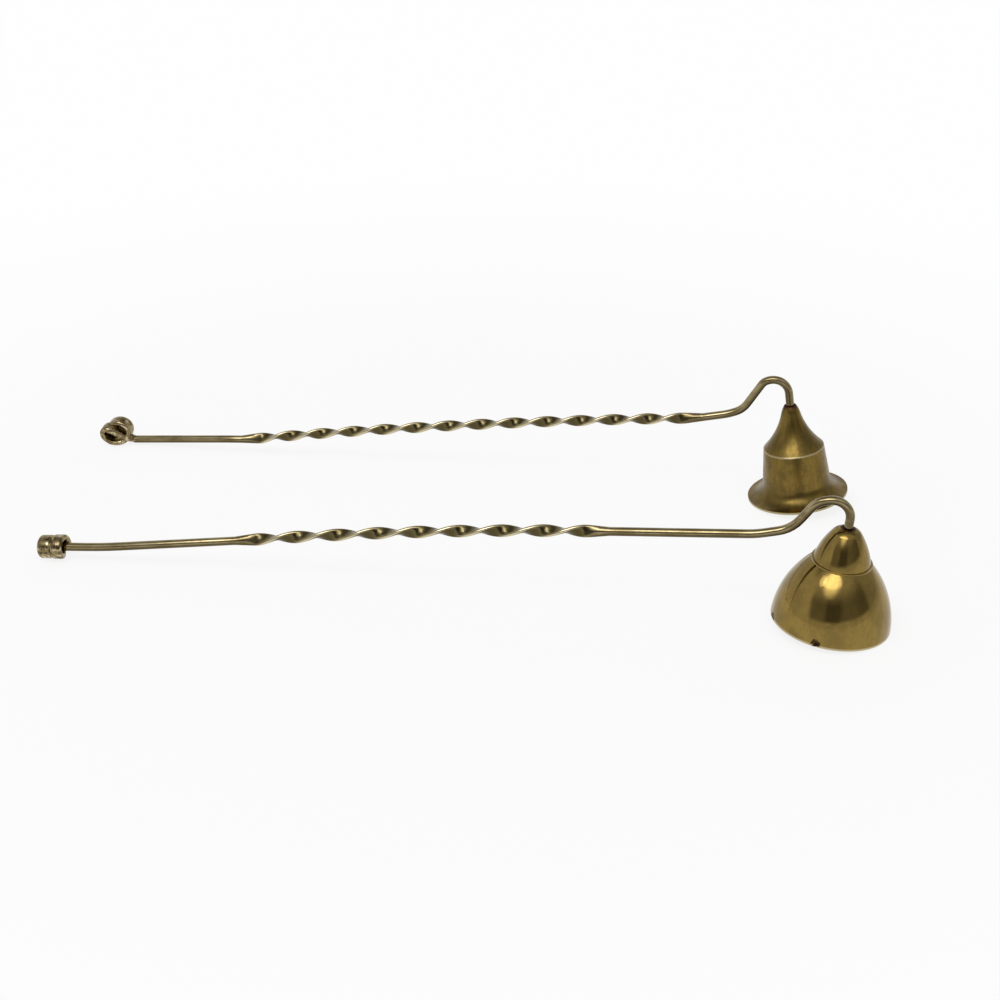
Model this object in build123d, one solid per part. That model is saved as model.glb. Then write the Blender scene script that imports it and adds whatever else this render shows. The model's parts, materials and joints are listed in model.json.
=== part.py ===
from build123d import *
from math import ceil, cos, pi, radians, sin, sqrt, tan
import os

# Two brass candle snuffers lying side by side, each on its coiled end and on one edge of its bell's rim.
# All lengths are in millimetres and all angles in degrees. Each snuffer is drawn in its own frame:
# X runs along the handle from the middle of the coil towards the bell, Z is up from the table.
# Heights of the bells are measured from the rim along the bell's own axis.

# Brass wire of both handles: round, rolled flat and twisted in the middle, and rolled flat at the coil
WIRE_D = 2.8
STRIP_W = 4.1
STRIP_T = 1.5
COIL_T = 1.9
TAPER_LEN = 7.5
TWIST_START = 64.0

# End of both wires: turned down to a pin that passes the bell's roof, with a washer and a peened head
PIN_D = 1.8
PIN_CLEARANCE = 0.08
SEAT_CLEARANCE = 0.1
WASHER_D = 5.0
WASHER_T = 0.5
WASHER_CLEARANCE = 0.05
HEAD_D = 3.4
HEAD_H = 0.9
HEAD_ROUND = 0.4

# Sheet brass of both bells
SHEET_T = 0.8
RIM_LAND = 0.8

# Domed snuffer: the coil is wound round the wire, which runs on its axis
DOMED_COIL_D = 8.3
DOMED_COIL_W = 3.8
DOMED_COIL_PITCH = 4.35
DOMED_COIL_TURNS = 1.65
DOMED_COIL_PHASE = 25.0
DOMED_COIL_SLOPE = 4.3
HAIRPIN_R = 1.5

# Domed snuffer: the handle
DOMED_FIRST_RUN = 18.0
DOMED_TWIST_BOW = 1.2
DOMED_LOBES = 8
DOMED_TWIST_SHARES = ((0.25, 0.322), (0.754, 0.849))
DOMED_CROOK_RISE = 9.9
DOMED_CROOK_BACK = 28.1
DOMED_CROOK_DROP = 14.3
DOMED_CROOK_SHARES = ((1, 1), (0.626, 0.814), (0.376, 0.104), (0, 0))
DOMED_BEND_SHARES = (0.26, 0.38, 0.29, 0.7)

# Domed snuffer: the bell, a dome with a separate cap
DOMED_REACH = 254.9
DOMED_TILT = 4.6
DOMED_RIM_D = 37.2
DOME_H = 20.8
DOME_TOP_D = 18.4
DOME_BULGE_SHARES = (0.33, 0.58)
CAP_H = 11.5
CAP_OVERHANG = 0.15
CAP_LIP_H = 0.5
CAP_LIP_STEP = 0.5
CAP_WAIST_SHARES = (0.28, 0.47)
CAP_CROWN_SHARES = (0.65, 0.85)
CAP_ROOF_D = 4.4
CAP_ROOF_T = 2.0

# Flared snuffer: the coil lies across the handle, which leaves it from below
FLARED_COIL_D = 11.7
FLARED_COIL_W = 2.9
FLARED_COIL_PITCH = 3.7
FLARED_COIL_TURNS = 1.78
FLARED_COIL_ROLL = 9.0
FLARED_COIL_X = 1.5
FLARED_COIL_Y = -0.2
TAIL_LEN = 2.0
KNEE_RUN = 3.0

# Flared snuffer: the handle
FLARED_TWIST_BOW = 1.35
FLARED_LOBES = 13
FLARED_FIRST_BEND_SHARES = (0.167, 0.127)
FLARED_TWIST_SHARES = ((0.227, 0.178), (0.928, 0.897))
FLARED_CROOK_RISE = 11.6
FLARED_CROOK_BACK = 19.2
FLARED_CROOK_DROP = 16.6
FLARED_CROOK_SHARES = ((1, 1), (0.745, 0.874), (0.408, 0.22), (0, 0))
FLARED_BEND_SHARES = (0.4, 0.5, 0.13, 0.83)
KNEE_BEND_SHARES = (0.9, 0.3)

# Flared snuffer: the bell
FLARED_REACH = 255.4
FLARED_TILT = -8.8
FLARED_RIM_D = 34.9
FLARED_H = 34.0
RIM_EDGE_H = 0.9
BRIM_H = 5.6
BRIM_SHARES = (0.69, 0.31)
WALL_FOOT_D = 23.5
SHOULDER_D = 21.0
SHOULDER_H = 18.3
CONE_SHARES = (0.593, 0.434)
NECK_D = 6.5
NECK_H = 2.8
NECK_ROOF_D = 4.0
FLARED_ROOF_T = 5.0

# Where the flared snuffer's frame lies from the domed one's, and how far each handle is turned about Z
FLARED_PLACE_X = 3.4
FLARED_PLACE_Y = 90.2
DOMED_YAW = -9.5
FLARED_YAW = -10.7

# Overrun of every cut; guide points to each half turn of a twist; steps to each turn of a coil, of two arcs
# each, and points to each turn where its gap to itself is measured
CUT = 1.0
GUIDE_POINTS = 8
COIL_STEPS = 4
GAP_POINTS = 90

UP = Vector(0, 0, 1)
ALONG = Vector(1, 0, 0)
AWAY = Vector(0, 1, 0)


def between(start, end, shares):
    """The point that lies at the given shares of the way from start to end, along X and along Z."""
    return Vector(start.X + shares[0] * (end.X - start.X), 0, start.Z + shares[1] * (end.Z - start.Z))


def turned(edges):
    """A solid of revolution about Z from an outline that runs from its foot to its top."""
    foot = edges[0] @ 0
    top = edges[-1] @ 1
    closing = Polyline(top, UP * top.Z, UP * foot.Z, foot)
    return revolve(make_face([*edges, *closing.edges()]), Axis.Z)


def inward(tangent):
    """The normal of an outline that points into the bell."""
    return Vector(-tangent.Z, 0, tangent.X)


def lining(edges, foot_r):
    """The outline of the bell's inside: the outer outline moved inwards by the sheet's thickness."""
    joints = [Vector(foot_r, 0, 0)]
    for lower, upper in zip(edges, edges[1:]):
        normals = inward(lower % 1), inward(upper % 0)
        mitre = (normals[0] + normals[1]) / (1 + normals[0].dot(normals[1]))
        joints.append((lower @ 1) + mitre * SHEET_T)
    joints.append((edges[-1] @ 1) + inward(edges[-1] % 1) * SHEET_T)
    inner = [Line(joints[0] - UP * CUT, joints[0])]
    for edge, start, end in zip(edges, joints, joints[1:]):
        middle = (edge @ 0.5) + inward(edge % 0.5) * SHEET_T
        straight = edge.edge().geom_type == GeomType.LINE
        inner.append(Line(start, end) if straight else ThreePointArc(start, middle, end))
    return inner


def pin_hole(roof_h):
    """The drill through a bell's roof, with the pin's running clearance."""
    return Pos(Z=roof_h) * Cylinder(PIN_D / 2 + PIN_CLEARANCE, roof_h)


def hollow(outer, inner, roof_h, roof_t):
    """A turned shell with a flat ceiling under its roof and the pin's hole through it."""
    space = split(turned(inner), bisect_by=Plane.XY.offset(roof_h - roof_t), keep=Keep.BOTTOM)
    return turned(outer) - space - pin_hole(roof_h)


def dome():
    """The dome: one curved wall, open at the mouth and at the ring that carries the cap."""
    foot = Vector(DOMED_RIM_D / 2, 0, 0)
    ring = Vector(DOME_TOP_D / 2, 0, DOME_H)
    wall = ThreePointArc(foot, between(foot, ring, DOME_BULGE_SHARES), ring)
    inner = lining([wall], DOMED_RIM_D / 2 - RIM_LAND)
    ring_inside = inner[-1] @ 1
    inner.append(Line(ring_inside, Vector(ring_inside.X, 0, DOME_H + CUT)))
    return turned([wall]) - turned(inner)


def cap():
    """The conical cap: a low lip, a bulging wall and a small flat roof, seated on the dome's ring."""
    lip_r = DOME_TOP_D / 2 + CAP_OVERHANG
    foot = Vector(lip_r - CAP_LIP_STEP, 0, CAP_LIP_H)
    roof = Vector(CAP_ROOF_D / 2, 0, CAP_H)
    crown = between(foot, roof, CAP_CROWN_SHARES)
    wall = ThreePointArc(foot, between(foot, roof, CAP_WAIST_SHARES), crown)
    shoulder = TangentArc(crown, roof, tangent=wall % 1)
    lip = Polyline(Vector(lip_r, 0, 0), Vector(lip_r, 0, CAP_LIP_H), foot)
    inner = lining([wall, shoulder], foot.X - SHEET_T)
    return hollow([*lip.edges(), wall, shoulder], inner, CAP_H, CAP_ROOF_T)


def flared_bell():
    """The flared bell: brim, slightly conical wall, sharp shoulder, hollow cone and round neck."""
    rim = Vector(FLARED_RIM_D / 2, 0, RIM_EDGE_H)
    wall_foot = Vector(WALL_FOOT_D / 2, 0, BRIM_H)
    shoulder = Vector(SHOULDER_D / 2, 0, SHOULDER_H)
    neck = Vector(NECK_D / 2, 0, FLARED_H - NECK_H)
    roof = Vector(NECK_ROOF_D / 2, 0, FLARED_H)
    brim = ThreePointArc(rim, between(rim, wall_foot, BRIM_SHARES), wall_foot)
    wall = Line(wall_foot, shoulder)
    cone = ThreePointArc(shoulder, between(shoulder, neck, CONE_SHARES), neck)
    top = TangentArc(neck, roof, tangent=cone % 1)
    edge = Line(Vector(rim.X, 0, 0), rim)
    inner = lining([brim, wall, cone, top], rim.X - RIM_LAND)
    return hollow([edge, brim, wall, cone, top], inner, FLARED_H, FLARED_ROOF_T)


def washer(roof_h, roof_t):
    """The washer under a bell's roof, which rests on the pin's head."""
    foot_h = roof_h - roof_t - SEAT_CLEARANCE - WASHER_T
    align = (Align.CENTER, Align.CENTER, Align.MIN)
    ring = Cylinder(WASHER_D / 2, WASHER_T, align=align)
    ring -= Cylinder(PIN_D / 2 + WASHER_CLEARANCE, WASHER_T, align=align)
    return Pos(Z=foot_h) * ring


def pin(roof_h, roof_t):
    """The wire's turned-down end through the roof and the washer, with its peened head."""
    top_h = roof_h + SEAT_CLEARANCE
    head_h = roof_h - roof_t - SEAT_CLEARANCE - WASHER_T
    align = (Align.CENTER, Align.CENTER, Align.MAX)
    shank = Pos(Z=top_h) * Cylinder(PIN_D / 2, top_h - head_h + HEAD_H / 2, align=align)
    head = Cylinder(HEAD_D / 2, HEAD_H, align=align)
    head = fillet(head.edges().sort_by(Axis.Z)[:1], HEAD_ROUND)
    return shank + Pos(Z=head_h) * head


def bell_plane(reach, tilt, rim_d):
    """The rim plane of a bell that leans along the handle by tilt and stands on one edge of its rim."""
    axis = Vector(sin(radians(tilt)), 0, cos(radians(tilt)))
    return Plane(origin=Vector(reach, 0, rim_d / 2 * abs(axis.X)), x_dir=AWAY.cross(axis), z_dir=axis)


def crook_corners(plane, roof_h, rise, back, drop, shares):
    """The corners of a crook, from the handle over the crest and down the bell's axis to the roof."""
    last = plane.origin + plane.z_dir * (roof_h + rise)
    corners = [last - ALONG * (back * share[0]) - UP * (drop * share[1]) for share in shares]
    return corners + [plane.origin + plane.z_dir * (roof_h + SEAT_CLEARANCE)]


def bend_radii(corners, shares):
    """The radius of each bend, which takes its share of the shorter run beside it."""
    radii = []
    for before, corner, after, share in zip(corners, corners[1:], corners[2:], shares):
        reach = share * min((corner - before).length, (after - corner).length)
        turn = radians((corner - before).get_angle(after - corner))
        radii.append(reach / tan(turn / 2))
    return radii


def round_wire(corners, shares):
    """Round wire along straight runs and tangent bends, with its two end faces."""
    path = FilletPolyline(*corners, radius=bend_radii(corners, shares)) if shares else Line(*corners)
    start = Plane(origin=path @ 0, z_dir=path % 0) * Circle(WIRE_D / 2)
    end = Plane(origin=path @ 1, z_dir=path % 1) * Circle(WIRE_D / 2)
    wire = Solid.sweep(start.face(), Wire(path.edges()))
    return wire, start.face(), end.face()


def taper_end(strip_end, tangent, corner):
    """Where round wire starts beyond the strip's end, midway between the strip's way and the next run's."""
    way = (tangent + (corner - strip_end).normalized()).normalized()
    return strip_end + way * TAPER_LEN


def twisted_strip(path, half_turns):
    """Flat strip along a gentle arc, twisted left-handed by half turns, with its two end faces."""
    def place(share, angle):
        side = AWAY * cos(angle) + (path % share).cross(AWAY) * sin(angle)
        return path @ share, side

    def section(share, angle):
        origin, side = place(share, angle)
        return (Plane(origin=origin, x_dir=side, z_dir=path % share) * SlotOverall(STRIP_W, STRIP_T)).face()

    guide = []
    steps = half_turns * GUIDE_POINTS
    for step in range(steps + 1):
        origin, side = place(step / steps, radians(TWIST_START) - pi * step / GUIDE_POINTS)
        guide.append(origin + side * STRIP_W)
    start = section(0, radians(TWIST_START))
    end = section(1, radians(TWIST_START) - pi * half_turns)
    strip = Solid.sweep(start, Wire(path.edges()), mode=Wire(Spline(*guide).edges()))
    return strip, start, end


def bowed(start, end, bow):
    """A gentle arc between two points that rises above its chord by the bow."""
    across = Vector(start.Z - end.Z, 0, end.X - start.X).normalized()
    return ThreePointArc(start, (start + end) / 2 + across * bow, end)


def coil_path(radius, pitch, turns, left_handed):
    """A coil about Z from +X, made of pairs of tangent arcs."""
    sense = -1 if left_handed else 1
    steps = ceil(turns * COIL_STEPS)
    edges = []

    def place(share):
        angle = sense * 2 * pi * turns * share
        out = Vector(cos(angle), sin(angle), 0)
        heading = UP.cross(out) * (2 * pi * radius * sense) + UP * pitch
        return out * radius + UP * (pitch * turns * share), heading.normalized()

    for step in range(steps):
        start, leaving = place(step / steps)
        end, arriving = place((step + 1) / steps)
        chord = end - start
        spread = 2 - 2 * leaving.dot(arriving)
        slant = chord.dot(leaving + arriving)
        reach = (sqrt(slant * slant + spread * chord.dot(chord)) - slant) / spread
        first = start + leaving * reach
        second = end - arriving * reach
        middle = (first + second) / 2
        edges.append(TangentArc(start, middle, tangent=leaving).edge())
        edges.append(TangentArc(middle, end, tangent=(second - first).normalized()).edge())
    return Wire(edges)


def on_table(shape):
    """The lift that sets the lowest point of a shape on the table."""
    return UP * -shape.bounding_box().min.Z


def print_coil_gap(name, path, width, turns):
    """Prints the least gap between two turns, measured on points of the coil's path."""
    count = round(turns * GAP_POINTS)
    points = [path @ (step / count) for step in range(count + 1)]
    apart = [(a - b).length for i, a in enumerate(points) for b in points[i + GAP_POINTS // 2:]]
    print(f"{name}: least gap of the coil to itself {min(apart) - width:.2f} mm")


def coil(name, outer_d, width, pitch, turns, left_handed):
    """The flattened end of the wire, wound about Z, with its start face and its path.

    The path's own copy across the axis guides the section, so that its flat side always faces the axis.
    """
    path = coil_path((outer_d - COIL_T) / 2, pitch, turns, left_handed)
    plane = Plane(origin=path @ 0, x_dir=(path % 0).cross(ALONG), z_dir=path % 0)
    start = (plane * Ellipse(width / 2, COIL_T / 2)).face()
    opposite = Rot(Z=180) * path
    print_coil_gap(name, path, width, turns)
    return Solid.sweep(start, path, mode=Wire(opposite.edges())), start, path


def hairpin(path, outer_d, width):
    """The flattened wire from the coil's axis out to its first turn."""
    middle_r = (outer_d - COIL_T) / 2
    plane = Plane(origin=path @ 0, x_dir=ALONG, z_dir=ALONG.cross(path % 0))
    arm = Line((-middle_r - WIRE_D / 2, -HAIRPIN_R), (-HAIRPIN_R, -HAIRPIN_R))
    bend = TangentArc((-HAIRPIN_R, -HAIRPIN_R), (0, 0), tangent=(1, 0))
    track = plane * Wire([arm.edge(), bend.edge()])
    section = Plane(origin=track @ 0, x_dir=plane.z_dir, z_dir=track % 0) * Ellipse(width / 2, COIL_T / 2)
    return Solid.sweep(section.face(), track)


def domed_handle(plane, roof_h, roof_t):
    """The domed snuffer's wire, from the coil that is wound round it to the pin in the bell's roof."""
    slope = radians(DOMED_COIL_SLOPE)
    way = Vector(cos(slope), 0, sin(slope))
    out = AWAY * cos(radians(DOMED_COIL_PHASE)) + way.cross(AWAY) * sin(radians(DOMED_COIL_PHASE))
    to_middle = way * (DOMED_COIL_PITCH * DOMED_COIL_TURNS / 2)
    coil_plane = Plane(origin=to_middle * -1, x_dir=out, z_dir=way)
    winding, _, path = coil(
        "domed_handle", DOMED_COIL_D, DOMED_COIL_W, DOMED_COIL_PITCH, DOMED_COIL_TURNS, left_handed=False
    )
    coil_plane.origin += on_table(coil_plane * winding)
    middle = coil_plane.origin + to_middle
    coiled_end = coil_plane * (winding + hairpin(path, DOMED_COIL_D, DOMED_COIL_W))

    crook = crook_corners(
        plane, roof_h, DOMED_CROOK_RISE, DOMED_CROOK_BACK, DOMED_CROOK_DROP, DOMED_CROOK_SHARES
    )
    first_bend = middle + way * DOMED_FIRST_RUN
    twist_from, twist_to = (between(first_bend, crook[0], shares) for shares in DOMED_TWIST_SHARES)
    arc = bowed(twist_from, twist_to, DOMED_TWIST_BOW)
    strip, strip_start, strip_end = twisted_strip(arc, DOMED_LOBES)
    wire_end = coil_plane.origin - way * (DOMED_COIL_W / 2)
    before = [wire_end, first_bend, taper_end(twist_from, (arc % 0) * -1, first_bend)]
    after = [taper_end(twist_to, arc % 1, crook[0]), *crook]
    lower, _, lower_end = round_wire(before, DOMED_BEND_SHARES[:1])
    upper, upper_start, _ = round_wire(after, DOMED_BEND_SHARES)
    tapers = loft([lower_end, strip_start]) + loft([strip_end, upper_start])
    return coiled_end + lower + tapers + strip + upper + plane * pin(roof_h, roof_t)


def flared_handle(plane, roof_h, roof_t):
    """The flared snuffer's wire, from the coil that lies across it to the pin in the bell's roof."""
    roll = radians(FLARED_COIL_ROLL)
    axis = Vector(0, -cos(roll), -sin(roll))
    winding, coil_start, path = coil(
        "flared_handle", FLARED_COIL_D, FLARED_COIL_W, FLARED_COIL_PITCH, FLARED_COIL_TURNS, left_handed=True
    )
    coil_plane = Plane(origin=(FLARED_COIL_X, FLARED_COIL_Y, 0), x_dir=ALONG.cross(axis), z_dir=axis)
    coil_plane.origin += on_table(coil_plane * winding)
    leaving = (coil_plane.origin - coil_plane.from_local_coords(path % 0)).normalized()
    tail = coil_plane.from_local_coords(path @ 0) + leaving * TAIL_LEN
    knee = tail + leaving * KNEE_RUN

    crook = crook_corners(
        plane, roof_h, FLARED_CROOK_RISE, FLARED_CROOK_BACK, FLARED_CROOK_DROP, FLARED_CROOK_SHARES
    )
    first_bend = between(knee, crook[0], FLARED_FIRST_BEND_SHARES)
    twist_from, twist_to = (between(knee, crook[0], shares) for shares in FLARED_TWIST_SHARES)
    arc = bowed(twist_from, twist_to, FLARED_TWIST_BOW)
    strip, strip_start, strip_end = twisted_strip(arc, FLARED_LOBES)
    before = [tail, knee, first_bend, taper_end(twist_from, (arc % 0) * -1, first_bend)]
    after = [taper_end(twist_to, arc % 1, crook[0]), *crook]
    lower, lower_start, lower_end = round_wire(before, KNEE_BEND_SHARES)
    upper, upper_start, _ = round_wire(after, FLARED_BEND_SHARES)
    tapers = loft([coil_plane * coil_start, lower_start])
    tapers += loft([lower_end, strip_start]) + loft([strip_end, upper_start])
    return coil_plane * winding + lower + tapers + strip + upper + plane * pin(roof_h, roof_t)


def domed_snuffer():
    """The domed snuffer's pieces, the plane of its rim and the height of its roof."""
    plane = bell_plane(DOMED_REACH, DOMED_TILT, DOMED_RIM_D)
    roof_h = DOME_H + CAP_H
    return {
        "domed_handle": domed_handle(plane, roof_h, CAP_ROOF_T),
        "domed_washer": plane * washer(roof_h, CAP_ROOF_T),
        "domed_cap": plane * Pos(Z=DOME_H) * cap(),
        "domed_dome": plane * dome(),
    }, plane, roof_h


def flared_snuffer():
    """The flared snuffer's pieces, the plane of its rim and the height of its roof."""
    plane = bell_plane(FLARED_REACH, FLARED_TILT, FLARED_RIM_D)
    return {
        "flared_handle": flared_handle(plane, FLARED_H, FLARED_ROOF_T),
        "flared_washer": plane * washer(FLARED_H, FLARED_ROOF_T),
        "flared_bell": plane * flared_bell(),
    }, plane, FLARED_H


domed, domed_plane, domed_roof = domed_snuffer()
flared, flared_plane, flared_roof = flared_snuffer()
domed_place = Rot(Z=DOMED_YAW)
flared_place = Pos(FLARED_PLACE_X, FLARED_PLACE_Y) * Rot(Z=FLARED_YAW)
pieces = {name: domed_place * shape for name, shape in domed.items()}
pieces.update({name: flared_place * shape for name, shape in flared.items()})

box = Compound(list(pieces.values())).bounding_box()
centre = box.center()
to_origin = Pos(-centre.X, -centre.Y, -box.min.Z)

os.makedirs("parts", exist_ok=True)
for name, shape in pieces.items():
    export_step(to_origin * shape, f"parts/{name}.step")

for name, place, plane, roof_h in (
    ("domed", domed_place, domed_plane, domed_roof),
    ("flared", flared_place, flared_plane, flared_roof),
):
    rim = Plane(to_origin * place * plane.location)
    roof = rim.origin + rim.z_dir * roof_h
    print(f"{name}: rim centre {rim.origin}, axis {rim.z_dir}, roof {roof}")
print(f"overall size {box.size}, shifted by {centre.X:.3f} {centre.Y:.3f} {box.min.Z:.3f}")
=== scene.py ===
import bpy
import json
from math import atan, cos, radians, sin
from mathutils import Matrix, Vector

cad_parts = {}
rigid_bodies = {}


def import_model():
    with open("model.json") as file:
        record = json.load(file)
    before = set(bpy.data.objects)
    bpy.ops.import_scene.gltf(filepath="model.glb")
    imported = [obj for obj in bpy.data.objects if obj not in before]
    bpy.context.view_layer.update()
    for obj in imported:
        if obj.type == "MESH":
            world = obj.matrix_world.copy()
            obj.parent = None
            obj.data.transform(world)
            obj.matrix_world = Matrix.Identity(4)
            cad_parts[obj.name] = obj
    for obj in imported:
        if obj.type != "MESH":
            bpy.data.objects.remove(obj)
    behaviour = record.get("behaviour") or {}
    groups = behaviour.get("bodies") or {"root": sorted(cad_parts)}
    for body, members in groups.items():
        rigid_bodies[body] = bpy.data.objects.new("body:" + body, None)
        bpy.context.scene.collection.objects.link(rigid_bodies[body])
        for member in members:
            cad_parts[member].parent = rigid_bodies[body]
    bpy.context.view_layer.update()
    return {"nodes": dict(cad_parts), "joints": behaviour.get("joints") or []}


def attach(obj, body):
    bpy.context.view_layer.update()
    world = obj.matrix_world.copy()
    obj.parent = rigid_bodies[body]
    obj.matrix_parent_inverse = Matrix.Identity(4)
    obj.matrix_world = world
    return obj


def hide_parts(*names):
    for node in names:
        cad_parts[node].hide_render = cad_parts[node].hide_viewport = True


# The room: the two snuffers lie on a white table, and the camera looks down on them from the near side.
# Two soft lamps hang above and behind the camera, and the part of the room behind the camera is dark,
# which is what the polished bell mirrors as a dark band.
bpy.ops.object.select_all(action="SELECT")
bpy.ops.object.delete()
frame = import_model()
bpy.ops.object.select_all(action="DESELECT")

scene = bpy.context.scene
scene.view_settings.view_transform = "Standard"

# the camera, fitted to the rims and the handles; its focal length is given in pixels of the picture's width
look_down = radians(27)
picture_width, focal_length = 1000, 1700
bpy.ops.object.camera_add(location=(0.01575, -0.5119, 0.2744), rotation=(radians(90) - look_down, 0, 0))
camera = bpy.context.object
camera.data.angle = 2 * atan(picture_width / 2 / focal_length)
camera.data.clip_start = 0.01
scene.camera = camera

between_bells = Vector((0.09, -0.03, 0.02))


def soft_lamp(name, azimuth, elevation, width, height, power):
    """An oval lamp a metre from the bells; azimuth runs from the far side round by the right."""
    level = cos(radians(elevation))
    away = Vector((sin(radians(azimuth)) * level, cos(radians(azimuth)) * level, sin(radians(elevation))))
    turn = away.to_track_quat("Z", "Y").to_euler()
    bpy.ops.object.light_add(type="AREA", location=between_bells + away, rotation=turn)
    lamp = bpy.context.object
    lamp.name = name
    lamp.data.shape = "ELLIPSE"
    lamp.data.size = width
    lamp.data.size_y = height
    lamp.data.energy = power


soft_lamp("long_lamp", azimuth=-156, elevation=54, width=0.80, height=0.32, power=1.1)
soft_lamp("side_lamp", azimuth=-122, elevation=50, width=0.26, height=0.24, power=0.30)


def add_node(tree, kind, spot, **settings):
    made = tree.nodes.new(kind)
    made.location = spot
    for name, value in settings.items():
        setattr(made, name, value)
    return made


def feed(tree, source, socket):
    """Links a socket to a source, or writes a plain value to it."""
    if isinstance(source, bpy.types.NodeSocket):
        tree.links.new(source, socket)
    else:
        socket.default_value = source


def maths(tree, operation, first, second, spot):
    made = add_node(tree, "ShaderNodeMath", spot, operation=operation)
    feed(tree, first, made.inputs[0])
    feed(tree, second, made.inputs[1])
    return made.outputs["Value"]


def times_plus(tree, first, factor, added, spot):
    """first times factor, plus added."""
    made = add_node(tree, "ShaderNodeMath", spot, operation="MULTIPLY_ADD")
    for socket, source in zip(made.inputs, (first, factor, added)):
        feed(tree, source, socket)
    return made.outputs["Value"]


def product(tree, spot, first, *others):
    """All the values multiplied together."""
    for step, other in enumerate(others):
        first = maths(tree, "MULTIPLY", first, other, (spot[0] + 150 * step, spot[1]))
    return first


def fade(tree, source, low, high, spot):
    """0 at low and 1 at high, with a smooth rise between; low may be the greater one."""
    ramp = add_node(tree, "ShaderNodeMapRange", spot, interpolation_type="SMOOTHSTEP")
    ramp.inputs["From Min"].default_value = min(low, high)
    ramp.inputs["From Max"].default_value = max(low, high)
    ramp.inputs["To Min"].default_value = 0 if low < high else 1
    ramp.inputs["To Max"].default_value = 1 if low < high else 0
    feed(tree, source, ramp.inputs["Value"])
    return ramp.outputs["Result"]


def vectors(tree, operation, first, second, spot):
    made = add_node(tree, "ShaderNodeVectorMath", spot, operation=operation)
    feed(tree, first, made.inputs[0])
    feed(tree, second, made.inputs[1])
    return made.outputs["Value" if operation in ("LENGTH", "DOT_PRODUCT") else "Vector"]


room = bpy.data.worlds.new("white_room")
scene.world = room
room.use_nodes = True
tree = room.node_tree
tree.nodes.clear()
way = add_node(tree, "ShaderNodeTexCoord", (-1400, 0)).outputs["Generated"]
split = add_node(tree, "ShaderNodeSeparateXYZ", (-1200, 0))
feed(tree, way, split.inputs["Vector"])
up = split.outputs["Z"]
right = split.outputs["X"]
near = maths(tree, "MULTIPLY", split.outputs["Y"], -1, (-1000, -200))

# the dark part behind the camera, darkest a little to the left of its middle
band = product(
    tree, (-600, 100), fade(tree, up, 0.10, 0.15, (-800, 200)), fade(tree, up, 0.80, 0.42, (-800, 0)),
    fade(tree, near, 0.26, 0.44, (-800, -200)), fade(tree, right, -0.88, -0.78, (-800, -400)),
)
right_of_edge = fade(tree, right, -0.50, -0.34, (-800, -600))
left_of_edge = fade(tree, right, 0.25, 0.0, (-800, -700))
core = product(tree, (-600, -600), right_of_edge, left_of_edge)
darkening = times_plus(tree, core, -0.22, -0.60, (-400, -600))
level = times_plus(tree, band, darkening, 1, (0, 100))

# the right side and the far end of the ceiling are dimmer than the rest
side = product(
    tree, (-600, -950), fade(tree, right, 0.35, 0.9, (-800, -900)), fade(tree, up, 0.05, 0.15, (-800, -1000)),
)
high_up = fade(tree, up, 0.60, 0.80, (-800, -1100))
far_top = product(tree, (-600, -1150), high_up, fade(tree, near, 0.15, -0.10, (-800, -1200)))
side_level = times_plus(tree, side, -0.35, 1, (-200, -950))
far_level = times_plus(tree, far_top, -0.6, 1, (-200, -1150))
level = product(tree, (150, 100), level, side_level, far_level)

# a window, high to the left of the camera, is the highlight on both bells
window = vectors(tree, "DOT_PRODUCT", way, (-0.267, -0.524, 0.809), (-1000, -1400))
level = times_plus(tree, fade(tree, window, 0.925, 0.998, (-800, -1400)), 2.6, level, (450, 100))

# the camera itself sees the room as white; the strength counts from the shader's own grey of 0.8
seen = add_node(tree, "ShaderNodeLightPath", (200, 400)).outputs["Is Camera Ray"]
level = maths(tree, "MAXIMUM", level, maths(tree, "MULTIPLY", seen, 1.21, (400, 300)), (600, 100))
shine = add_node(tree, "ShaderNodeBackground", (800, 100))
feed(tree, level, shine.inputs["Strength"])
out = add_node(tree, "ShaderNodeOutputWorld", (1000, 100))
feed(tree, shine.outputs["Background"], out.inputs["Surface"])

# The table: a sheet of matt white paper, wider than the view. It keeps the snuffers' soft shadow, and
# the eye and the polished metal see it nearly white.
bpy.ops.mesh.primitive_plane_add(size=8, location=(0, 0, -0.0002))
table = bpy.context.object
table.name = "table"
bpy.ops.object.transform_apply(location=True, rotation=True, scale=True)
paper = bpy.data.materials.new("white_paper")
paper.use_nodes = True
tree = paper.node_tree
tree.nodes.clear()
matte = add_node(tree, "ShaderNodeBsdfDiffuse", (0, 0))
matte.inputs["Color"].default_value = (0.95, 0.95, 0.95, 1)
glow = add_node(tree, "ShaderNodeEmission", (0, -200))

# the paper glows a little more away from the snuffers, where no shadow has to show
place = add_node(tree, "ShaderNodeTexCoord", (-1000, 400)).outputs["Object"]
distance = vectors(tree, "LENGTH", place, (0, 0, 0), (-800, 400))
share = times_plus(tree, fade(tree, distance, 0.12, 0.45, (-600, 400)), 0.14, 0.84, (-400, 400))
rays = add_node(tree, "ShaderNodeLightPath", (-600, 100))
seen = maths(tree, "MAXIMUM", rays.outputs["Is Camera Ray"], rays.outputs["Is Glossy Ray"], (-400, 100))
both = add_node(tree, "ShaderNodeMixShader", (200, 0))
feed(tree, maths(tree, "MULTIPLY", seen, share, (-200, 200)), both.inputs["Fac"])
feed(tree, matte.outputs["BSDF"], both.inputs[1])
feed(tree, glow.outputs["Emission"], both.inputs[2])
out = add_node(tree, "ShaderNodeOutputMaterial", (400, 0))
feed(tree, both.outputs["Shader"], out.inputs["Surface"])
table.data.materials.append(paper)
bpy.ops.object.select_all(action="DESELECT")

# Domed snuffer's wire handle: one length of brass wire, 2.8 mm round, rolled flat to 4.1 x 1.5 mm and
# twisted to the left in the middle. Handling keeps the twist's edges bright, and an olive-brown film
# has grown in its hollows and on the round lengths.


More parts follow.
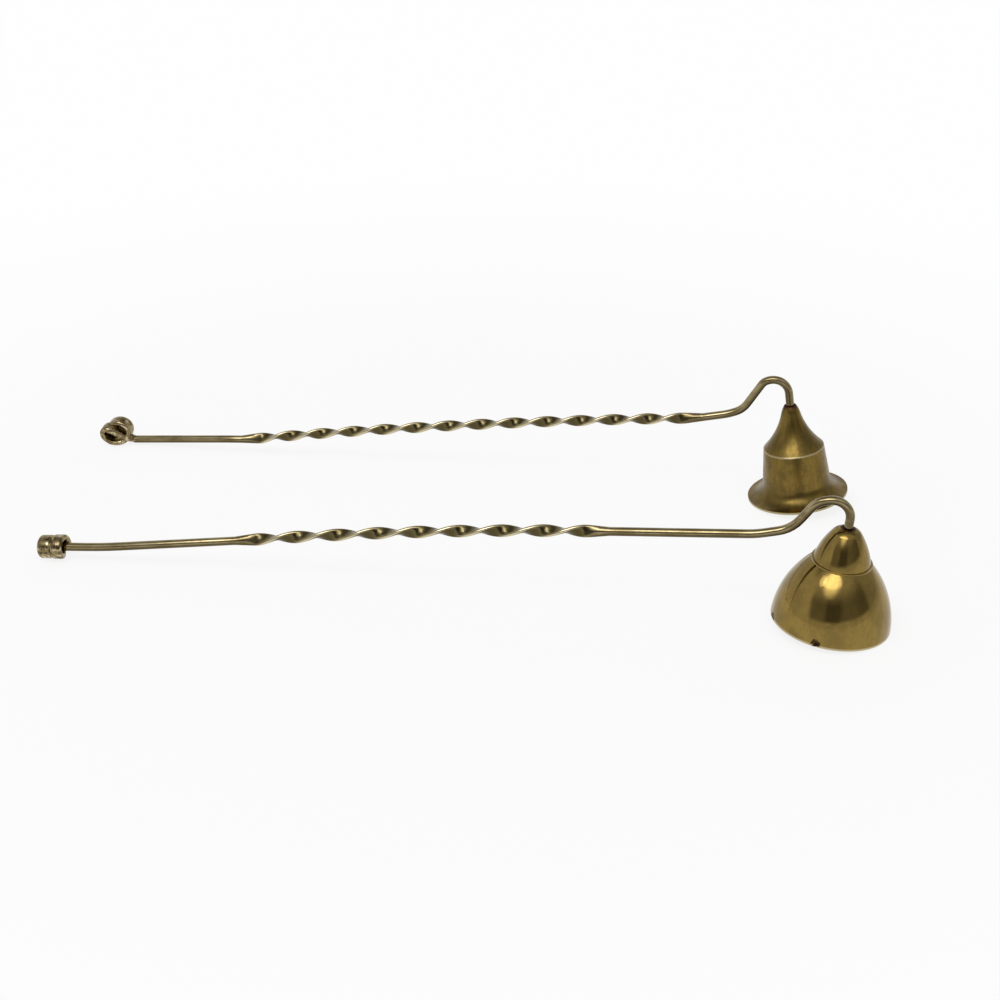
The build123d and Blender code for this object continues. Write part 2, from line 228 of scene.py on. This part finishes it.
def new_group(name, inputs, outputs):
    """A shader group and its two ends; the sockets are given as name: kind."""
    group = bpy.data.node_groups.new(name, "ShaderNodeTree")
    for sockets, side in ((inputs, "INPUT"), (outputs, "OUTPUT")):
        for label, kind in sockets.items():
            group.interface.new_socket(label, in_out=side, socket_type="NodeSocket" + kind)
    given = add_node(group, "NodeGroupInput", (-1400, 0))
    return group, given.outputs, add_node(group, "NodeGroupOutput", (1200, 0)).inputs


def noise(tree, vector, scale, detail, spot):
    made = add_node(tree, "ShaderNodeTexNoise", spot)
    made.inputs["Detail"].default_value = detail
    made.inputs["Roughness"].default_value = 0.6
    feed(tree, vector, made.inputs["Vector"])
    feed(tree, scale, made.inputs["Scale"])
    return made.outputs["Fac"]


def mix(tree, mask, first, second, spot):
    """The first colour where the mask is 0, and the second where it is 1."""
    made = add_node(tree, "ShaderNodeMix", spot, data_type="RGBA")
    feed(tree, mask, made.inputs[0])
    feed(tree, first, made.inputs[6])
    feed(tree, second, made.inputs[7])
    return made.outputs[2]


# the film that grows on handled brass: cloudy patches, small dark specks, and a waviness left by buffing
old_brass, given, result = new_group(
    "old_brass",
    {
        "Vector": "Vector", "Clean": "Color", "Film": "Color", "Patch Scale": "Float", "Smooth": "Float",
        "Dull": "Float",
    },
    {"Color": "Color", "Roughness": "Float", "Height": "Float"},
)
patches = noise(old_brass, given["Vector"], given["Patch Scale"], 5, (-1000, 200))
finer = maths(old_brass, "MULTIPLY", given["Patch Scale"], 7, (-1200, 0))
grain = noise(old_brass, given["Vector"], finer, 3, (-1000, 0))
specks = noise(old_brass, given["Vector"], 2300, 2, (-1000, -300))
specks = fade(old_brass, specks, 0.66, 0.74, (-800, -300))
cloud = maths(old_brass, "ADD", patches, times_plus(old_brass, grain, 0.24, -0.12, (-700, 0)), (-500, 200))
filmed = fade(old_brass, cloud, 0.36, 0.66, (-300, 200))
tone = mix(old_brass, filmed, given["Clean"], given["Film"], (0, 400))
speck_brown = (0.018, 0.012, 0.006, 1)
tone = mix(old_brass, maths(old_brass, "MULTIPLY", specks, 0.45, (0, 200)), tone, speck_brown, (300, 400))
feed(old_brass, tone, result["Color"])
span = maths(old_brass, "SUBTRACT", given["Dull"], given["Smooth"], (-300, -100))
rough = times_plus(old_brass, filmed, span, given["Smooth"], (0, 0))
rough = maths(old_brass, "MAXIMUM", rough, maths(old_brass, "MULTIPLY", specks, 0.25, (0, -150)), (300, 0))
feed(old_brass, rough, result["Roughness"])
height = times_plus(old_brass, grain, 0.07, patches, (0, -400))
pits = maths(old_brass, "MULTIPLY", specks, 0.1, (0, -550))
feed(old_brass, maths(old_brass, "SUBTRACT", height, pits, (300, -400)), result["Height"])

# how far a point lies from a twist's bowed middle line, and where along it: 0 at its start and 1 at its end
off_middle, given, result = new_group(
    "off_twist_middle",
    {"Vector": "Vector", "Start": "Vector", "Run": "Vector", "Bow": "Float"},
    {"Distance": "Float", "Share": "Float"},
)
out_of = vectors(off_middle, "SUBTRACT", given["Vector"], given["Start"], (-1100, 0))
along = vectors(off_middle, "DOT_PRODUCT", out_of, given["Run"], (-900, 100))
whole = vectors(off_middle, "DOT_PRODUCT", given["Run"], given["Run"], (-900, -100))
share = maths(off_middle, "DIVIDE", along, whole, (-700, 0))
feed(off_middle, share, result["Share"])
left = maths(off_middle, "SUBTRACT", 1, share, (-500, -200))
lift = product(off_middle, (-300, -200), share, left, 4, given["Bow"])
raised = add_node(off_middle, "ShaderNodeCombineXYZ", (300, -200))
feed(off_middle, lift, raised.inputs["Z"])
scaled = add_node(off_middle, "ShaderNodeVectorMath", (-300, 100), operation="SCALE")
feed(off_middle, given["Run"], scaled.inputs[0])
feed(off_middle, share, scaled.inputs["Scale"])
middle = vectors(off_middle, "ADD", scaled.outputs["Vector"], raised.outputs["Vector"], (500, 0))
gap = vectors(off_middle, "SUBTRACT", out_of, middle, (700, 0))
feed(off_middle, vectors(off_middle, "LENGTH", gap, (0, 0, 0), (900, 0)), result["Distance"])


def use_group(tree, group, spot, **values):
    made = add_node(tree, "ShaderNodeGroup", spot, node_tree=group)
    for name, value in values.items():
        feed(tree, value, made.inputs[name.replace("_", " ")])
    return made.outputs


def new_metal(name):
    """A metal's material, its tree, its shader's inputs, and the coordinates in the piece's own frame."""
    made = bpy.data.materials.new(name)
    made.use_nodes = True
    metal = made.node_tree.nodes["Principled BSDF"]
    metal.inputs["Metallic"].default_value = 1
    own = add_node(made.node_tree, "ShaderNodeTexCoord", (-1800, 0)).outputs
    return made, made.node_tree, metal.inputs, own


def relief(tree, metal, height, depth, strength):
    """Bump of the given depth in metres on the metal."""
    bump = add_node(tree, "ShaderNodeBump", (-250, -400))
    bump.inputs["Strength"].default_value = strength
    bump.inputs["Distance"].default_value = depth
    feed(tree, height, bump.inputs["Height"])
    feed(tree, bump.outputs["Normal"], metal["Normal"])


def wire_metal(name, start, end, bow):
    """The wire's brass: filmed, with painted shade underneath, darker in the twist's hollows, and worn bright
    on its edges.
    """
    clean, film_tone, worn_and_highlight_brass = (0.38, 0.31, 0.17, 1), (0.22, 0.17, 0.08, 1), (0.60, 0.52, 0.34, 1)
    painted_underside_shade, hollow = (0.075, 0.054, 0.024, 1), (0.082, 0.066, 0.026, 1)
    made, tree, metal, own = new_metal(name)
    drawn = add_node(tree, "ShaderNodeMapping", (-1500, 200))
    drawn.inputs["Scale"].default_value = (0.3, 1, 1)
    feed(tree, own["Object"], drawn.inputs["Vector"])
    film = use_group(
        tree, old_brass, (-1200, 200), Vector=drawn.outputs["Vector"], Clean=clean, Film=film_tone,
        Patch_Scale=330, Smooth=0.07, Dull=0.15,
    )
    # painted shade: the wire's colour darkens where its surface faces down or sideways
    under = vectors(tree, "DOT_PRODUCT", own["Normal"], (0, 0, 1), (-1300, -1000))
    under = product(tree, (-900, -1000), fade(tree, under, 0.35, -0.15, (-1100, -1000)), 0.85)
    tone = mix(tree, under, film["Color"], painted_underside_shade, (-750, 200))

    # the flattened strip's edges are 2.05 mm from its middle line
    twist = use_group(
        tree, off_middle, (-1200, -200), Vector=own["Object"], Start=Vector(start) / 1000,
        Run=(Vector(end) - Vector(start)) / 1000, Bow=bow / 1000,
    )
    begun = fade(tree, twist["Share"], -0.04, 0.01, (-950, -650))
    not_over = fade(tree, twist["Share"], 1.04, 0.99, (-950, -850))
    twisted = product(tree, (-750, -700), begun, not_over)
    near_middle = fade(tree, twist["Distance"], 0.00185, 0.00130, (-950, -450))
    near_edge = fade(tree, twist["Distance"], 0.00178, 0.00202, (-950, -200))
    tone = mix(tree, product(tree, (-600, -450), near_middle, twisted, 0.82), tone, hollow, (-550, 200))
    tone = mix(tree, product(tree, (-600, -200), near_edge, twisted), tone, worn_and_highlight_brass, (-350, 200))
    feed(tree, tone, metal["Base Color"])
    feed(tree, film["Roughness"], metal["Roughness"])
    relief(tree, metal, film["Height"], 0.00012, 0.12)
    return made


def wire_alone(node, name, origin, line, cut, outside):
    """A handle's wire without its coil: a copy of the node, cut by a plane across the line and cleared of
    the faces that lie outside the wire. The places are in millimetres from the coil's origin."""
    bpy.ops.object.select_all(action="DESELECT")
    frame["nodes"][node].select_set(True)
    bpy.context.view_layer.objects.active = frame["nodes"][node]
    bpy.ops.object.duplicate()
    wire = bpy.context.object
    wire.name = name
    start = origin / 1000
    along = line.normalized()
    bpy.ops.object.mode_set(mode="EDIT")
    bpy.ops.mesh.select_all(action="SELECT")
    bpy.ops.mesh.remove_doubles(threshold=0.000001)
    bpy.ops.mesh.bisect(plane_co=start + along * cut / 1000, plane_no=along, clear_inner=True, use_fill=True)
    bpy.ops.mesh.select_all(action="DESELECT")
    bpy.ops.object.mode_set(mode="OBJECT")
    for face in wire.data.polygons:
        face.select = outside((face.center - start) * 1000)
    bpy.ops.object.mode_set(mode="EDIT")
    bpy.ops.mesh.select_mode(type="FACE")
    bpy.ops.mesh.delete(type="FACE")
    bpy.ops.mesh.select_all(action="SELECT")
    bpy.ops.mesh.fill_holes(sides=0)
    bpy.ops.mesh.select_all(action="SELECT")
    bpy.ops.mesh.normals_make_consistent(inside=False)
    bpy.ops.mesh.select_all(action="DESELECT")
    bpy.ops.object.mode_set(mode="OBJECT")
    bpy.ops.mesh.customdata_custom_splitnormals_clear()
    bpy.ops.object.shade_smooth_by_angle(angle=radians(35))
    wire.select_set(False)
    return wire


# the middle of the coil's outer end, and the way that the wire leaves it, in millimetres as all places here
domed_origin = Vector((-136.49, -15.061, 3.928))
domed_line = Vector((0.983509, -0.164583, 0.074979)).normalized()
domed_cut, coil_reach, wire_radius = 4.2, 12.5, 1.4


def on_domed_coil(spot):
    """True for what is near the coil and not on the wire itself."""
    away = spot.dot(domed_line)
    return away < coil_reach and (spot - domed_line * away).length > wire_radius + 0.15


domed_wire = wire_metal("domed_wire_film", (-62.9, -27.4, 13.2), (42.6, -45.0, 25.7), 1.2)
handle = wire_alone("domed_handle", "domed_wire", domed_origin, domed_line, domed_cut, on_domed_coil)
handle.data.materials[0] = domed_wire
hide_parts("domed_handle")
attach(handle, "domed_stem")
frame["nodes"]["domed_washer"].data.materials[0] = domed_wire

# Domed snuffer's coiled end: the last of the wire, hammered to a flat strip about 4.4 mm wide and wound
# almost twice round the handle's own line, its two turns side by side with a shallow groove between.


def wound_strip(name, origin, right, up, points, width, thick):
    """A flat strip with round edges, bent along points given as right, up, toward and size; all but the size
    in millimetres."""
    edge_radius = thick / 2.08
    bpy.ops.mesh.primitive_plane_add(size=1, location=(0, 0, 0))
    bpy.ops.object.mode_set(mode="EDIT")
    bpy.ops.transform.resize(value=(thick / 1000, width / 1000, 1), center_override=(0, 0, 0))
    bpy.ops.mesh.bevel(offset=edge_radius / 1000, segments=6, affect="VERTICES")
    bpy.ops.mesh.delete(type="ONLY_FACE")
    bpy.ops.object.mode_set(mode="OBJECT")
    bpy.ops.object.convert(target="CURVE")
    edge = bpy.context.object
    bpy.ops.object.select_all(action="DESELECT")
    bpy.ops.curve.primitive_nurbs_path_add(location=(0, 0, 0))
    strip = bpy.context.object
    strip.name = name
    curve = strip.data
    curve.splines.clear()
    line = curve.splines.new("NURBS")
    line.points.add(len(points) - 1)
    for point, (x, y, z, size) in zip(line.points, points):
        point.co = (x / 1000, y / 1000, z / 1000, 1)
        point.radius = size
    line.order_u = 4
    line.use_endpoint_u = True
    curve.dimensions = "3D"
    curve.twist_mode = "Z_UP"
    curve.resolution_u = 10
    curve.bevel_mode = "OBJECT"
    curve.bevel_object = edge
    curve.use_fill_caps = True
    bpy.ops.object.convert(target="MESH")
    strip = bpy.context.object
    bpy.ops.object.mode_set(mode="EDIT")
    bpy.ops.mesh.select_all(action="SELECT")
    bpy.ops.mesh.remove_doubles(threshold=0.000001)
    bpy.ops.mesh.normals_make_consistent(inside=False)
    bpy.ops.object.mode_set(mode="OBJECT")
    across = Vector(right).normalized()
    toward = across.cross(Vector(up)).normalized()
    turn = Matrix((across, toward.cross(across), toward)).transposed()
    strip.matrix_world = Matrix.Translation(origin / 1000) @ turn.to_4x4()
    bpy.context.view_layer.update()
    bpy.ops.object.transform_apply(location=True, rotation=True, scale=True)
    bpy.ops.object.shade_smooth_by_angle(angle=radians(40))
    bpy.ops.object.select_all(action="DESELECT")
    bpy.data.objects.remove(edge)
    return strip


def round_the_line(rows):
    """Points about every 20 degrees between rows of angle, radius, height and size."""
    corners_cut = 1.02
    points = []
    for row, following in zip(rows, rows[1:]):
        steps = max(1, round(abs(following[0] - row[0]) / 20))
        for step in range(steps):
            angle, radius, height, size = (a + (b - a) * step / steps for a, b in zip(row, following))
            radius *= corners_cut
            points.append((radius * cos(radians(angle)), radius * sin(radians(angle)), height, size))
    angle, radius, height, size = rows[-1]
    return points + [(radius * cos(radians(angle)), radius * sin(radians(angle)), height, size)]


def hammered_metal(name, bore=None, origin=None, axis=None):
    """Hammered brass: pale high spots, brown hollows, and painted shade in a coil's bore where its radius is
    given.
    """
    clean, film_tone, worn_and_highlight_brass = (0.31, 0.24, 0.125, 1), (0.17, 0.125, 0.06, 1), (0.58, 0.50, 0.31, 1)
    hollow, painted_bore_shade = (0.040, 0.026, 0.012, 1), (0.032, 0.021, 0.012, 1)
    made, tree, metal, own = new_metal(name)
    film = use_group(
        tree, old_brass, (-1200, 200), Vector=own["Object"], Clean=clean, Film=film_tone, Patch_Scale=420,
        Smooth=0.12, Dull=0.26,
    )
    dents = noise(tree, own["Object"], 620, 2, (-1500, -200))
    pale = product(tree, (-1000, -200), fade(tree, dents, 0.56, 0.64, (-1200, -200)), 0.85)
    low = product(tree, (-1000, -450), fade(tree, dents, 0.44, 0.35, (-1200, -450)), 0.8)
    tone = mix(tree, pale, film["Color"], worn_and_highlight_brass, (-900, 250))
    tone = mix(tree, low, tone, hollow, (-700, 250))
    rough = film["Roughness"]
    if bore:
        # painted shade: the colour darkens inside the coil's bore, within the given radius of its line
        out_of = vectors(tree, "SUBTRACT", own["Object"], origin / 1000, (-1500, -700))
        across = vectors(tree, "CROSS_PRODUCT", out_of, axis, (-1300, -700))
        off_line = vectors(tree, "LENGTH", across, (0, 0, 0), (-1100, -700))
        shaded_bore = fade(tree, off_line, bore * 1.14 / 1000, bore * 1.02 / 1000, (-900, -700))
        tone = mix(tree, product(tree, (-700, -700), shaded_bore, 0.8), tone, painted_bore_shade, (-500, 250))
        rough = maths(tree, "MAXIMUM", rough, product(tree, (-500, -600), shaded_bore, 0.6), (-300, 0))
    feed(tree, tone, metal["Base Color"])
    feed(tree, rough, metal["Roughness"])
    relief(tree, metal, dents, 0.00022, 0.35)
    return made


strip_width, strip_thickness = 4.4, 2.0
turns = round_the_line((
    (430, 1.2, 2.9, 0.85), (330, 2.75, 2.2, 1.0), (217, 2.85, 1.8, 1.08), (37, 2.85, 2.0, 1.06),
    (-10, 2.95, 3.0, 1.0), (-60, 3.1, 4.6, 0.97), (-143, 3.15, 5.9, 0.95), (-233, 3.15, 6.2, 0.95),
    (-323, 3.15, 6.6, 0.95), (-420, 3.15, 7.0, 0.93),
))
domed_right, domed_up = (0.118331, 0.899108, 0.421429), (-0.136774, -0.405607, 0.903757)
coil = wound_strip("domed_coil", domed_origin, domed_right, domed_up, turns, strip_width, strip_thickness)
coil.data.materials.append(hammered_metal("domed_coil_brass", 2.1, domed_origin, domed_line))
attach(coil, "domed_stem")

# Domed snuffer's bell: a spun brass dome with a spun conical cap brazed on it, both 0.8 mm thick, buffed
# to a mirror and since filmed over in patches, stained at the rim and sooty inside.

# what a spinner's tool leaves: fine rings round the axis, and soft streaks down the wall
turned, given, result = new_group(
    "turning_marks", {"Vector": "Vector", "Ring Scale": "Float", "Streak Scale": "Float"},
    {"Rings": "Float", "Streaks": "Float"},
)
split = add_node(turned, "ShaderNodeSeparateXYZ", (-1200, 0))
feed(turned, given["Vector"], split.inputs["Vector"])
flat = add_node(turned, "ShaderNodeCombineXYZ", (-1000, 0))
feed(turned, split.outputs["X"], flat.inputs["X"])
feed(turned, split.outputs["Y"], flat.inputs["Y"])
reach = vectors(turned, "LENGTH", flat.outputs["Vector"], (0, 0, 0), (-800, 100))
down_profile = maths(turned, "SUBTRACT", split.outputs["Z"], reach, (-600, 100))
rings = add_node(turned, "ShaderNodeTexNoise", (-200, 100), noise_dimensions="1D")
rings.inputs["Detail"].default_value = 4
feed(turned, down_profile, rings.inputs["W"])
feed(turned, given["Ring Scale"], rings.inputs["Scale"])
feed(turned, rings.outputs["Fac"], result["Rings"])
facing = vectors(turned, "NORMALIZE", flat.outputs["Vector"], (0, 0, 0), (-800, -100))
drop = add_node(turned, "ShaderNodeCombineXYZ", (-600, -300))
feed(turned, maths(turned, "MULTIPLY", split.outputs["Z"], 14, (-800, -300)), drop.inputs["Z"])
fan = vectors(turned, "ADD", facing, drop.outputs["Vector"], (-400, -100))
feed(turned, noise(turned, fan, given["Streak Scale"], 3, (-200, -100)), result["Streaks"])


def bell_coordinates(tree, place, rim, axis):
    """A place in a bell's own frame, with the rim's centre at zero and the axis along Z; its height over the
    rim; and its distance from the axis."""
    turn = add_node(tree, "ShaderNodeMapping", (-1600, 0), vector_type="TEXTURE")
    turn.inputs["Location"].default_value = rim
    turn.inputs["Rotation"].default_value = axis.to_track_quat("Z", "Y").to_euler()
    feed(tree, place, turn.inputs["Vector"])
    split = add_node(tree, "ShaderNodeSeparateXYZ", (-1400, -300))
    feed(tree, turn.outputs["Vector"], split.inputs["Vector"])
    flat = add_node(tree, "ShaderNodeCombineXYZ", (-1200, -300))
    feed(tree, split.outputs["X"], flat.inputs["X"])
    feed(tree, split.outputs["Y"], flat.inputs["Y"])
    reach = vectors(tree, "LENGTH", flat.outputs["Vector"], (0, 0, 0), (-1000, -300))
    return turn.outputs["Vector"], split.outputs["Z"], reach


def stain_mask(tree, place, centre, size, ragged, spot):
    """1 inside a ragged patch round a point given in millimetres, and 0 outside."""
    out_of = vectors(tree, "SUBTRACT", place, Vector(centre) / 1000, spot)
    distance = vectors(tree, "LENGTH", out_of, (0, 0, 0), spot)
    wobble = times_plus(tree, noise(tree, place, 700, 3, spot), ragged, distance, spot)
    return fade(tree, wobble, size + ragged * 0.6, size + ragged * 0.4, spot)


def bell_metal(name, swivel, roof, highlight_line_at, clean, film_tone, smooth, dull, streaks, bumps, stains):
    """A spun bell's brass, with its film, marks, a worn lip painted brighter as its highlight, a painted
    highlight line, dark red-brown round the wire, stains and soot. The roof and the highlight line are
    heights over the rim in metres."""
    lip_wear_and_highlight_brass, worn_and_highlight_brass = (0.50, 0.42, 0.25, 1), (0.62, 0.54, 0.35, 1)
    entry_red_brown, soot_black = (0.060, 0.022, 0.014, 1), (0.014, 0.012, 0.010, 1)
    made, tree, metal, own = new_metal(name)
    rim, axis = Vector(swivel["pos_m"]), Vector(swivel["axis"])
    local, rise, reach = bell_coordinates(tree, own["Object"], rim, axis)
    film = use_group(
        tree, old_brass, (-1200, 200), Vector=local, Clean=clean, Film=film_tone, Patch_Scale=150,
        Smooth=smooth, Dull=dull,
    )
    marks = use_group(tree, turned, (-1200, 500), Vector=local, Ring_Scale=2600, Streak_Scale=9)
    streak = product(tree, (-800, 500), fade(tree, marks["Streaks"], 0.42, 0.66, (-1000, 500)), streaks)
    tone = mix(tree, streak, film["Color"], film_tone, (-600, 300))
    rough = maths(tree, "SUBTRACT", marks["Rings"], 0.5, (-600, 0))
    rough = times_plus(tree, rough, 0.06, film["Roughness"], (-450, 0))

    # the lip is worn pale and painted brighter as its highlight, and a pale line round the bell is a painted
    # highlight
    lip_wear_and_highlight = product(tree, (-700, -150), fade(tree, rise, 0.0008, 0.0005, (-900, -150)), 0.8)
    tone = mix(tree, lip_wear_and_highlight, tone, lip_wear_and_highlight_brass, (-450, 300))
    # painted highlight: a thin pale line round the bell at the given height
    off_line = maths(tree, "ABSOLUTE", maths(tree, "SUBTRACT", rise, highlight_line_at, (-900, -250)), 0, (-750, -250))
    painted_highlight_line = product(tree, (-500, -250), fade(tree, off_line, 0.00042, 0.00010, (-600, -250)), 0.42)
    tone = mix(tree, painted_highlight_line, tone, worn_and_highlight_brass, (-400, 350))

    # dark red-brown in the hole where the wire enters the roof
    in_hole = fade(tree, reach, 0.0027, 0.0020, (-900, -450))
    entry = product(tree, (-700, -500), in_hole, fade(tree, rise, roof - 0.004, roof - 0.001, (-900, -600)))
    tone = mix(tree, entry, tone, entry_red_brown, (-300, 300))
    rough = maths(tree, "MAXIMUM", rough, product(tree, (-450, -200), entry, 0.6), (-300, 0))
    for centre, size, ragged, colour in stains:
        mask = stain_mask(tree, own["Object"], centre, size, ragged, (-900, -1200))
        tone = mix(tree, mask, tone, colour, (-150, 300))
        rough = maths(tree, "MAXIMUM", rough, product(tree, (-300, -300), mask, 0.6), (-150, 0))

    # soot on the walls that face a point inside the bell, thinner towards the rim
    out_of = vectors(tree, "SUBTRACT", own["Object"], rim + axis * roof * 0.4, (-1400, -900))
    facing = vectors(tree, "DOT_PRODUCT", out_of, own["Normal"], (-1200, -900))
    inner = fade(tree, facing, 0.0001, -0.0004, (-1000, -900))
    soot = product(tree, (-600, -900), inner, fade(tree, rise, 0.001, 0.009, (-800, -900)))
    tone = mix(tree, product(tree, (-400, -900), soot, 0.88), tone, soot_black, (0, 300))
    rough = maths(tree, "MAXIMUM", rough, product(tree, (-300, -900), soot, 0.75), (0, 0))
    feed(tree, tone, metal["Base Color"])
    feed(tree, rough, metal["Roughness"])
    relief(tree, metal, times_plus(tree, marks["Rings"], 0.18, film["Height"], (-450, -400)), 0.00016, bumps)
    return made


# each stain's middle in millimetres, its size and raggedness in metres, and its colour
brown, black, greenish = (0.075, 0.040, 0.016, 1), (0.016, 0.010, 0.007, 1), (0.120, 0.112, 0.048, 1)
rim_stains = (
    ((110.9, -74.6, 3.0), 0.0013, 0.0030, brown),
    ((111.2, -74.6, 2.6), 0.0006, 0.0026, black),
    ((99.9, -59.5, 3.0), 0.0018, 0.0016, greenish),
)
swivels = {joint["name"]: joint for joint in frame["joints"]}
polished = bell_metal(
    "polished_brass", swivels["domed_bell_swivel"], roof=0.0323, highlight_line_at=0.0,
    clean=(0.276, 0.189, 0.051, 1), film_tone=(0.202, 0.139, 0.041, 1), smooth=0.07, dull=0.14,
    streaks=0.35, bumps=0.08, stains=rim_stains,
)
for name in ("domed_cap", "domed_dome"):
    frame["nodes"][name].data.materials[0] = polished

# Flared snuffer's wire handle: the same wire as the domed one's, its twist a little longer.
# The coil lies across its end, so the wire is cut off beside it, under the coil.
flared_origin = Vector((-128.124, 74.073, 5.95))
flared_line = Vector((0.183381, 0.970515, 0.156434))
flared_right = Vector((0.9826, -0.1857, 0))
flared_up = flared_right.cross(flared_line)
flared_cut = 5.2


def on_flared_coil(spot):
    """True for what lies above the wire, beside the coil."""
    return spot.dot(flared_up) > -3.0 and spot.x < 8.0


flared_wire = wire_metal("flared_wire_film", (-73.5, 64.0, 6.9), (79.9, 35.0, 28.1), 1.35)
handle = wire_alone("flared_handle", "flared_wire", flared_origin, flared_right, flared_cut, on_flared_coil)

# the cut end goes on as a short taper, hammered down towards the strip's thickness
taper_length, taper_end = 2.2, (1, 1.15, 0.5)
cut_at = flared_origin.dot(flared_right) + flared_cut
for face in handle.data.polygons:
    face.select = abs(face.center.dot(flared_right) * 1000 - cut_at) < 0.02
handle.select_set(True)
bpy.ops.object.mode_set(mode="EDIT")
bpy.ops.mesh.extrude_region_move(TRANSFORM_OT_translate={"value": flared_right * -taper_length / 1000})
bpy.ops.transform.resize(value=taper_end)
bpy.ops.object.mode_set(mode="OBJECT")
bpy.ops.object.shade_smooth_by_angle(angle=radians(35))
handle.select_set(False)
handle.data.materials[0] = flared_wire
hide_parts("flared_handle")
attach(handle, "flared_stem")
frame["nodes"]["flared_washer"].data.materials[0] = flared_wire

# Flared snuffer's coiled end: the flattened end of the wire, wound almost twice about a line across the
# handle. It comes up from the wire across the front, goes round behind and ends curled up in the bore.
strip_width, strip_thickness = 4.6, 2.1

# its points, placed after the photo
on_the_wire = (
    (7.5, -4.45, -0.9, 0.50), (6.2, -4.4, -0.9, 0.60), (4.2, -4.2, -0.6, 0.78), (2.2, -3.0, -0.1, 1.0),
)
front_turn = (
    (0.5, -1.1, 0.6, 1.2), (-1.7, 0.8, 1.2, 1.25), (-4.0, 1.7, 1.7, 1.15), (-5.7, 0.8, 2.0, 1.0),
    (-6.1, -1.3, 2.1, 0.9), (-5.0, -3.1, 2.1, 0.85), (-3.1, -4.3, 2.1, 0.85), (-1.2, -4.5, 1.9, 0.85),
    (0.7, -4.4, 1.1, 0.9),
)
rear_turn = (
    (2.6, -3.4, 0.1, 1.0), (3.7, -1.0, -0.9, 1.05), (3.0, 1.6, -1.1, 1.1), (0.9, 2.8, -1.2, 1.1),
    (-1.6, 2.7, -1.2, 1.1), (-3.9, 1.2, -1.1, 1.05), (-5.2, -1.5, -1.0, 0.95), (-4.9, -3.4, -0.6, 0.85),
)
curled_end = (
    (-3.3, -4.3, -0.2, 0.8), (-0.9, -4.0, -0.2, 0.85), (0.6, -2.5, -0.6, 1.0), (0.4, -0.8, -0.8, 1.05),
    (-1.2, 0.0, -0.9, 1.05), (-3.0, -0.8, -0.8, 1.0), (-3.4, -2.2, -0.8, 0.9), (-2.0, -2.9, -0.8, 0.9),
    (-1.2, -2.0, -0.8, 0.9),
)
turns = on_the_wire + front_turn + rear_turn + curled_end
coil = wound_strip("flared_coil", flared_origin, flared_right, flared_up, turns, strip_width, strip_thickness)
coil.data.materials.append(hammered_metal("flared_coil_brass"))
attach(coil, "flared_stem")

# Flared snuffer's bell: spun from one disc of brass, with a short neck, a cone, an almost straight wall and
# a brim that flares out at the foot. It is satin, with fan-like streaks on the cone, and sooty inside.
satin = bell_metal(
    "satin_brass", swivels["flared_bell_swivel"], roof=0.0340, highlight_line_at=0.0183,
    clean=(0.212, 0.139, 0.033, 1), film_tone=(0.130, 0.090, 0.026, 1), smooth=0.26, dull=0.36,
    streaks=0.6, bumps=0.02, stains=(),
)
frame["nodes"]["flared_bell"].data.materials[0] = satin
